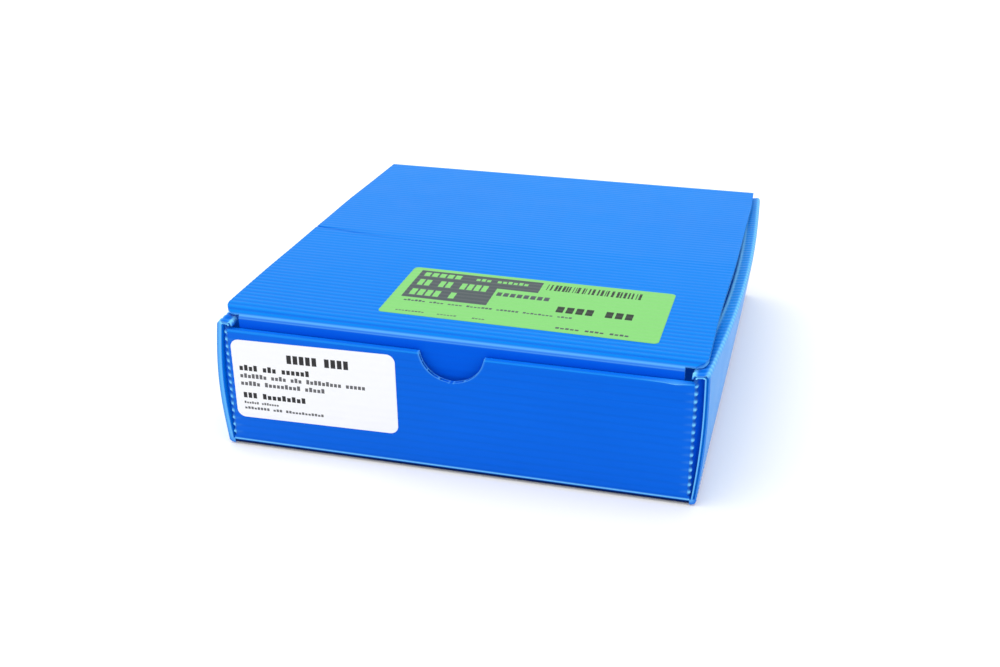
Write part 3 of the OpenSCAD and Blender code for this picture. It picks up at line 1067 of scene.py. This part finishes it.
@dataclass
class Lid:
    """The lid panel with its rounded shoulders and the tuck flap below its front fold."""

    stock: SheetStock
    low_x: float
    high_x: float
    fold_y: float
    tip_z: float
    crown_z: float
    pivot_y: float
    pivot_z: float
    fold_rise: float = 2.8
    flap_lean: float = 3.4
    crown_at: float = 101.1
    shoulder_r: float = 8.0
    flap_r: float = 9.0
    fold_r: float = 2.8
    right_droop: float = 1.0
    left_lift: float = 0.55
    sag: float = 0.08
    flute_depth: float = 12.0
    mark_at: tuple[float, float] = (101.6, 91.2)
    mark_length: float = 60.0

    @cached_property
    def fold(self) -> FoldedLine:
        """The lid's section: flap, front fold, a slightly domed panel and the hinge crease."""
        y, crown = self.fold_y, self.crown_z
        return FoldedLine(
            [(y + self.flap_lean, self.tip_z), (y, self.pivot_z + self.fold_rise),
             (y + 8.0, crown - 0.35), (y + 45.0, crown - 0.03),
             (y + self.crown_at, crown - 0.12), (self.pivot_y, self.pivot_z)],
            [self.fold_r, 60.0, 600.0, 200.0], self.stock.thickness, mitre_end=True)

    @property
    def fold_s(self) -> float:
        """Distance from the flap's free edge to the front fold."""
        return self.fold.folds[0]

    def rib_zero(self, s: Array) -> Array:
        """Where the count of ribs starts, on the flap and behind the fold."""
        return np.where(s < self.fold_s, 0.0, self.fold_s)

    def dip(self, x: Array, s: Array) -> Array:
        """How far the lid's face lies under its nominal place.

        It sags between the ribs, is crushed along the first flute behind the fold, sways a
        little, and has an old crease that fades out from the left edge.

        Args:
            x: X of the points.
            s: Distance from the flap's free edge; same shape as x or one that spreads to it.

        Returns:
            Depths in the spread shape.
        """
        behind = s - self.fold_s
        flat = 1 - np.clip(bell(behind, 3.2) + bell(s - self.fold.length, 2.5), 0, 1)
        # The front of the panel is the more wavy one
        wavy = self.sag * (1 + 0.8 * (1 - smooth_step(behind / 110.0)) * (behind > 0))
        groove = 0.05 * bell(behind - 2.6, 1.0)
        return (wavy * self.stock.sag(s, self.rib_zero(s)) * flat + groove
                + 0.30 * self.mark(x, s) + self.sway(x, s))

    def droop(self, x: Array, s: Array) -> Array:
        """How far the lid's front hangs down, most at the right; its left edge is raised.

        Args:
            x: X of the points.
            s: Their distance from the flap's free edge.

        Returns:
            Drops, negative where the lid is raised.
        """
        across = (x - self.low_x) / (self.high_x - self.low_x)
        behind = s - self.fold_s
        raised = (1 - smooth_step(across / 0.25)) * between(behind, 0, 7, 80, 60)
        return (self.right_droop * across * (1 - smooth_step(behind / 70.0))
                - self.left_lift * raised)

    def spread(self, behind: Array) -> tuple[Array, Array]:
        """How far each side edge stands out beyond half the width.

        Args:
            behind: Distance behind the front fold, negative on the flap.

        Returns:
            The left and the right edge's amounts.
        """
        left = (0.45 + 0.7 * smooth_step((3 - behind) / 6)
                + 0.75 * smooth_step((behind - 105) / 50) - 0.25 * bell(behind - 100, 25))
        right = smooth_step((behind - 42) / 70) * (1 - 0.5 * smooth_step((behind - 193) / 22))
        return left, 1.3 * right

    def mark(self, x: Array, s: Array) -> Array:
        """Strength of the old crease, a bell across a straight line that fades with x.

        Args:
            x: X of the points.
            s: Their distance from the flap's free edge.

        Returns:
            1 on the crease at the left edge, 0 where it has faded out.
        """
        from_left = np.clip((x - self.low_x) / self.mark_length, 0, 1)
        first, last = self.mark_at
        at = self.fold_s + first + (last - first) * from_left
        return bell(s - at, 0.7) * (1 - smooth_step(from_left))

    def sway(self, x: Array, s: Array) -> Array:
        """Slow waves in the panel, sinking 0 to 0.2, that die out at the fold and the hinge."""
        panel = between(s, self.fold_s + 5, 30, self.fold.length, 40)
        return 0.10 * panel * (1 - np.sin(x / 31.0 + 0.6) * np.cos(s / 44.0))

    def half_width(self, s: Array, y: Array) -> Array:
        """Half the width at s: a quarter circle at the flap's corner and at the shoulder.

        Args:
            s: Distance from the flap's free edge.
            y: Y of the outer face at s.

        Returns:
            Half the width at each s.
        """
        def rounded(radius: float, inside: Array) -> Array:
            """The quarter circle's share of the width, that far inside its edge."""
            return np.sqrt(radius ** 2 - np.clip(radius - inside, 0, radius) ** 2)

        flap_half = (self.high_x - self.low_x) / 2 - self.shoulder_r
        flap = flap_half - self.flap_r + rounded(self.flap_r, s)
        return np.where(s < self.fold_s, np.minimum(flap, flap_half),
                        flap_half + rounded(self.shoulder_r, y - self.fold_y))

    def sheet(self, finish: bpy.types.Material) -> bpy.types.Object:
        """The lid as one sheet, seen along X.

        The section is a folded line, and the ends of the lines along X follow the shoulders
        and the flap's corners. The flutes are open at both side edges.

        Args:
            finish: The sheet's material.

        Returns:
            The piece.
        """
        st, fold, fold_s = self.stock, self.fold, self.fold_s
        bend = 1 - np.cos(np.linspace(0, np.pi / 2, 14))
        s = merged(
            st.lines(0.0, fold_s, 0.0), st.lines(fold_s, fold.length, fold_s),
            fold_s + fold.reaches[0] * np.linspace(-1, 1, 15), fold_s + self.shoulder_r * bend,
            self.flap_r * (1 - np.cos(np.linspace(0, np.pi / 2, 12))),
            fold_s + np.arange(self.mark_at[1] - 1.5, self.mark_at[0] + 1.5, 0.4),
            fold_s + np.arange(-3.0, 5.4, 0.35), [fold.length - 3], apart=0.07)
        behind = s - fold_s
        half = self.half_width(s, fold.faces(s)[0][:, 0])
        inset = np.array([0, 0.25, 1.2, 4.0, self.flute_depth, 20, 30, 40, 50, 62, 76])
        middle = (self.low_x + self.high_x) / 2
        x = middle + columns(*((half + out)[:, None] - inset for out in self.spread(behind)))
        grid = FoldedSheet(st, fold, s, x.shape[1], (1, 2))
        grid.points[..., 0] = x[:, None, :]
        sag = st.sag(s, self.rib_zero(s))
        down = self.dip(x, s[:, None])
        under = self.sway(x, s[:, None])
        grid.push(-down, 0, 1)
        grid.push(-under, 2)
        grid.push(self.sag * (sag * (np.abs(behind) > 4))[:, None] - under, 3)
        grid.points[..., 2] -= over(face=self.droop(x, s[:, None]))

        # The shoulders are crushed shut, and so is the sheet at its fold and its crease
        mid_s, k = grid.mid_s, np.arange(x.shape[1] - 1)
        flute = st.in_flute(mid_s, self.rib_zero(mid_s))
        flute &= np.abs(mid_s - fold_s) > st.thickness + 0.5
        flute &= mid_s < fold.length - st.thickness - 0.8
        flute &= (mid_s < fold_s) | (mid_s > fold_s + self.shoulder_r)
        grid.empty(flute, (k < 4) | (k >= len(k) - 4), BETWEEN_SKINS)
        grid.empty(mid_s < (st.pitch - st.rib) / 2, k, BETWEEN_SKINS)

        cut = bell(inset, 0.2)
        # Painted highlight with some whitening along the front fold; pale hinge, free edge and
        # cut sides
        grid.stress += over(
            0.64 * bell(behind + 0.6, 0.8) + 0.40 * bell(behind + 2.2, 0.4)
            + 0.35 * bell(s - fold.length, 1.2) + 0.8 * bell(s, 0.25))
        grid.stress += over(layer=[0.0, 0.0, 0.9, 0.9], run=[*cut, 0.0, *cut[::-1]])
        # The flap's upper part hangs in the lid's shade
        # Painted shade: the flap, the groove behind the fold, the rear, the dips between ribs,
        # the old crease
        shade = 0.22 * bell(behind - 2.5, 1.3) + 0.06 * smooth_step((-2.6 - behind) / 1.5)
        ahead = (1 - smooth_step(behind / 120.0)) * (behind > 0)
        shade += 0.06 * (1 - ahead) * (behind > 0) + (0.02 + 0.30 * ahead) * sag
        grid.deep += over(shade) + over(face=0.6 * self.mark(x, s[:, None]))
        # Painted light makes the panel behind the fold a paler blue
        grid.lit += over(smooth_step((behind + 1.0) / 2.0))
        return grid.build("lid_sheet", [finish])

    def build(self) -> list[bpy.types.Object]:
        """Builds and dresses the lid.

        Returns:
            The one piece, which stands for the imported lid.
        """
        # The lid's painted light and painted shade have blues of their own
        finish = SheetFinish("lid_sheet", FluteRun.ALONG_X, gloss=0.06,
                             blue=(0.0015, 0.117, 0.79, 1.0), lit_blue=(0.003, 0.243, 0.81, 1.0),
                             shade=(0.0, 0.05, 0.55, 1.0))
        piece = self.sheet(finish.make())
        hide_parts("lid")
        return [dressed(piece, "lid_body")]


# ------------------------------------------------------------------ labels


class Ink(enum.IntEnum):
    """What a cell of a label shows, which is also the number of its finish."""

    PAPER = 0
    BLACK = 1
    GREY = 2


Block = tuple[float, float, float, float, Ink]


@dataclass(frozen=True)
class Field:
    """A plain rectangle of one ink, measured from the label's top left corner."""

    left: float
    right: float
    top: float
    bottom: float
    ink: Ink = Ink.GREY

    def blocks(self) -> list[Block]:
        """What it covers, as left, right, top, bottom and ink."""
        return [(self.left, self.right, self.top, self.bottom, self.ink)]


@dataclass(frozen=True)
class Row(Field):
    """A row of plain blocks in place of words."""

    words: tuple[int, ...] = (5,)
    ragged: bool = True

    def blocks(self) -> list[Block]:
        """One block for each letter's place, some of them lower where the row is ragged.

        Returns:
            The blocks, from left to right.
        """
        step = (self.right - self.left) / (sum(self.words) + len(self.words) - 1)
        starts = np.cumsum([0] + [w + 1 for w in self.words[:-1]])
        at = np.concatenate([b + np.arange(w) for b, w in zip(starts, self.words)])
        short = (scatter(len(at), self.left + self.top) > 0.42) & self.ragged
        tops = self.top + (self.bottom - self.top) * 0.26 * short
        return [(self.left + a * step, self.left + (a + 0.74) * step, t, self.bottom, self.ink)
                for a, t in zip(at, tops)]


@dataclass(frozen=True)
class Stripes(Field):
    """Upright stripes whose widths follow a fixed scatter, in place of a bar code."""

    count: int = 26
    seed: float = 3.0

    def blocks(self) -> list[Block]:
        """The stripes: widths of one, two or three modules with gaps of the same kind.

        Returns:
            The stripes as blocks, from left to right.
        """
        widths = 1 + np.floor(3 * scatter(2 * self.count - 1, self.seed))
        edges = np.concatenate([[0], np.cumsum(widths)])
        edges = self.left + (self.right - self.left) * edges / edges[-1]
        return [(a, b, self.top, self.bottom, self.ink) for a, b in edges.reshape(-1, 2)]


@dataclass
class Label:
    """A printed label with rounded corners that lies on a panel and follows its flutes."""

    node: str
    body: str
    slot: str
    width: float
    height: float
    corner_r: float
    turn_deg: float
    panel: Tray | Lid
    middle: tuple[float, float]
    colours: list[PaperFinish]
    prints: list[Field]
    thickness: float = 0.12
    lift: float = 0.01
    spacing: float = 1.6

    def build(self) -> list[bpy.types.Object]:
        """Lays a grid over the label with a line at every edge of its print.

        A cell takes the ink of the last print that covers its middle. The grid's outer columns
        bend round the corners. The label follows the panel's folded line and its dips.

        Returns:
            The one piece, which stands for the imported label.
        """
        blocks = [b for p in self.prints for b in p.blocks()]
        left, right, top, bottom, ink = (np.array(v, float) for v in zip(*blocks))
        r, w, h = self.corner_r, self.width, self.height
        bend = r * (1 - np.cos(np.linspace(0, np.pi / 2, 9)))
        v = merged(np.arange(0, h, self.spacing / 2), bend, h - bend, top, bottom, [0, h],
                   apart=0.03)
        u = merged(np.arange(r, w - r, self.spacing * 3), left, right,
                   [0.0, 0.4 * r, 0.8 * r, w - 0.8 * r, w - 0.4 * r, w], apart=0.03)
        mid_u, mid_v = (u[:-1, None] + u[1:, None]) / 2, (v[:-1] + v[1:])[:, None, None] / 2
        covers = (mid_u > left) & (mid_u < right) & (mid_v > top) & (mid_v < bottom)
        order = np.where(covers, np.arange(len(ink)), -1).max(axis=2)
        shown = np.where(order >= 0, ink[order], 0).astype(np.int32)
        # Rows near the top and bottom are shorter: the outer columns are squeezed inwards
        to_end = np.clip(r - np.minimum(v, h - v), 0, r)
        lost = r - np.sqrt(r * r - np.square(to_end))
        squeeze = np.clip(1 - np.minimum(u, w - u) / r, 0, 1) * np.where(u < w / 2, 1, -1)
        turn = math.radians(self.turn_deg)
        a, b = u + lost[:, None] * squeeze - w / 2, (h / 2 - v)[:, None]
        x = self.middle[0] + a * math.cos(turn) - b * math.sin(turn)
        s = self.middle[1] + a * math.sin(turn) + b * math.cos(turn)
        outer, _, away = self.panel.fold.faces(s)
        dip = self.panel.dip(x, s)
        points = np.zeros((len(v), 2, len(u), 3))
        points[..., 0] = x[:, None, :]
        for layer, lift in enumerate((self.thickness, self.lift)):
            points[:, layer, :, 1:] = outer + (lift - dip)[..., None] * away
        points[..., 2] -= self.panel.droop(x, s)[:, None, :]
        filled = np.ones((len(v) - 1, 1, len(u) - 1), bool)
        piece = Lattice(points, filled, {}, shown).build(
            self.node + "_print", [c.make() for c in self.colours])
        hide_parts(self.node)
        return [dressed(piece, self.body)]


def centre_of(node: str) -> Array:
    """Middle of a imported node's box, in millimetres."""
    return np.mean(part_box(node), axis=0) / MM


def front_label(tray: Tray) -> Label:
    """The white label on the front wall, with rows of blocks in place of its words.

    Args:
        tray: The tray that carries it.

    Returns:
        The label, not yet built.
    """
    x, _, z = centre_of("front_label")
    return Label(
        "front_label", "tray_body", "white_label", 70.0, 35.0, 3.5, 1.0, tray,
        (x, tray.fold.folds[1] + tray.foot_sink + z),
        [PaperFinish("white_label_paper", (0.925, 0.935, 0.965, 1.0), 0.42, 0.01),
         PaperFinish("black_ink", (0.012, 0.012, 0.014, 1.0), 0.38, 0.1),
         PaperFinish("grey_ink", (0.12, 0.12, 0.13, 1.0), 0.38, 0.1)],
        [Row(24.0, 51.0, 4.8, 8.6, Ink.BLACK, (5, 4), False),
         Row(2.9, 33.7, 11.0, 13.6, Ink.BLACK, (4, 3, 6)),
         Row(2.9, 57.3, 14.9, 16.9, Ink.GREY, (7, 4, 3, 9, 5)),
         Row(2.9, 39.8, 18.3, 20.3, Ink.GREY, (5, 9, 5)),
         Row(3.5, 31.2, 23.5, 26.0, Ink.BLACK, (3, 9)),
         Row(3.5, 18.9, 27.6, 28.7, Ink.GREY, (6, 7)),
         Row(3.5, 38.5, 30.0, 31.2, Ink.GREY, (8, 3, 12))])


def lid_label(lid: Lid) -> Label:
    """The green label on the lid: a dark L-shaped field, stripes and rows of blocks.

    Args:
        lid: The lid that carries it.

    Returns:
        The label, not yet built.
    """
    x, y, _ = centre_of("lid_label")
    return Label(
        "lid_label", "lid_body", "green_label", 113.5, 48.0, 2.0, -0.7, lid,
        (x, lid.fold_s + y - lid.fold_y),
        [PaperFinish("green_label_paper", (0.212, 0.62, 0.163, 1.0), 0.45, 0.03),
         PaperFinish("label_black_ink", (0.010, 0.026, 0.012, 1.0), 0.4, 0.1),
         PaperFinish("label_grey_ink", (0.056, 0.078, 0.086, 1.0), 0.4, 0.06)],
        [Field(4.2, 58.0, 2.7, 13.6), Field(4.2, 40.5, 13.6, 31.1),
         Row(6.5, 23.7, 4.3, 8.4, Ink.PAPER, (5,), False),
         Row(29.6, 52.8, 5.2, 7.8, Ink.PAPER, (3, 6)),
         Row(6.5, 37.5, 12.3, 18.3, Ink.PAPER, (2, 2, 4), False),
         Row(6.5, 26.6, 22.6, 28.5, Ink.PAPER, (4, 1), False),
         Stripes(60.4, 100.2, 3.6, 9.7, Ink.BLACK),
         Row(41.8, 64.8, 17.1, 20.7, Ink.GREY, (8,), False),
         Row(69.1, 101.2, 24.6, 30.0, Ink.BLACK, (4, 3), False),
         Row(6.5, 77.2, 33.2, 34.9, Ink.GREY, (6, 4, 4, 7, 6, 8, 4)),
         Row(6.5, 18.8, 43.8, 45.1, Ink.GREY, (9,)),
         Row(24.1, 32.3, 43.8, 45.1, Ink.GREY, (6,)),
         Row(38.6, 44.0, 43.8, 45.1, Ink.GREY, (4,)),
         Row(72.5, 101.9, 43.4, 45.1, Ink.GREY, (5, 4, 4))])


# ------------------------------------------------------------------ the studio


@dataclass
class Studio:
    """White floor, soft even light and the camera."""

    camera_at: tuple[float, float, float] = (129.6, -530.75, 263.5)
    yaw_deg: float = -14.6
    pitch_deg: float = 24.75
    roll_deg: float = 0.09
    lens: float = 45.74
    sky: float = 0.82
    sun: float = 1.50
    sun_way: tuple[float, float, float] = (0.28, 0.14, -0.94)
    floor_glow: float = 0.14
    floor_half: float = 6000.0
    floor_drop: float = 2.0
    lamp_width_deg: float = 80.0

    def camera(self) -> None:
        """Places the camera by its yaw, its pitch below the horizon and its roll."""
        data = bpy.data.cameras.new("camera")
        data.lens, data.sensor_width = self.lens, 36.0
        data.clip_start, data.clip_end = 0.01, 50.0
        camera = put("camera", data)
        yaw, pitch = math.radians(self.yaw_deg), math.radians(self.pitch_deg)
        level = math.cos(pitch)
        camera.location = Vector(self.camera_at) * MM
        aimed(camera, Vector((math.sin(yaw) * level, math.cos(yaw) * level, -math.sin(pitch))),
              math.radians(self.roll_deg))
        bpy.context.scene.camera = camera

    def floor(self) -> None:
        """A wide plain floor that keeps the shadow and otherwise shows white to the camera."""
        n = Nodes(bpy.data.materials.new("floor_white"))
        seen = n.add("LightPath", {}).outputs
        shown = n.math("ADD", seen["Is Camera Ray"], seen["Is Glossy Ray"], clamp=True)
        shown = n.math("ADD", shown, seen["Is Transmission Ray"], clamp=True)
        base = n.add("BsdfDiffuse", {"Color": (0.865, 0.865, 0.86, 1)})
        glow = n.add("Emission", {"Color": WHITE,
                                  "Strength": n.math("MULTIPLY", shown, self.floor_glow)})
        mesh = bpy.data.meshes.new("floor")
        points = np.array([(-1, -1), (1, -1), (1, 1), (-1, 1)]) * self.floor_half
        points = np.column_stack([points, np.full(4, -self.floor_drop)]) * MM
        mesh.from_pydata(points.tolist(), [], [(0, 1, 2, 3)])
        mesh.materials.append(n.finish(n.add("AddShader", {0: base.outputs[0],
                                                           1: glow.outputs[0]})))
        put("floor", mesh)

    def light(self) -> None:
        """An even white sky, seen as plain white, and a broad soft lamp from the upper left."""
        world = bpy.data.worlds.new("sky")
        bpy.context.scene.world = world
        n = Nodes(world)
        seen = n.add("LightPath", {}).outputs["Is Camera Ray"]
        level = n.math("MULTIPLY_ADD", seen, 1.0 - self.sky, self.sky)
        n.finish(n.add("Background", {"Color": WHITE, "Strength": level}), "OutputWorld")
        lamp = bpy.data.lights.new("soft_lamp", "SUN")
        lamp.energy, lamp.angle = self.sun, math.radians(self.lamp_width_deg)
        aimed(put("soft_lamp", lamp), Vector(self.sun_way))

    def build(self) -> None:
        """Sets the view transform and builds camera, floor and light."""
        bpy.context.scene.view_settings.view_transform = "Standard"
        self.camera()
        self.floor()
        self.light()


# ------------------------------------------------------------------ all of it


def main() -> None:
    """Builds the studio, then the pieces in order, and reports each of them."""
    logging.basicConfig(level=logging.INFO, format="%(name)s: %(message)s")
    Studio().build()
    stock = SheetStock()
    _, *hinge = (float(v) / MM for v in frame["joints"][0]["pos_m"])
    (_, front_y, _), _ = np.array(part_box("tray")) / MM
    (low_x, fold_y, tip_z), (high_x, _, crown_z) = np.array(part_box("lid")) / MM
    tray = Tray(stock, front_y, *hinge)
    lid = Lid(stock, low_x, high_x, fold_y, tip_z, crown_z, *hinge)
    for part in (tray, lid, front_label(tray), lid_label(lid)):
        for piece in part.build():
            LOG.info("%s: %d faces", piece.name, len(piece.data.polygons))


if __name__ == "__main__":
    main()
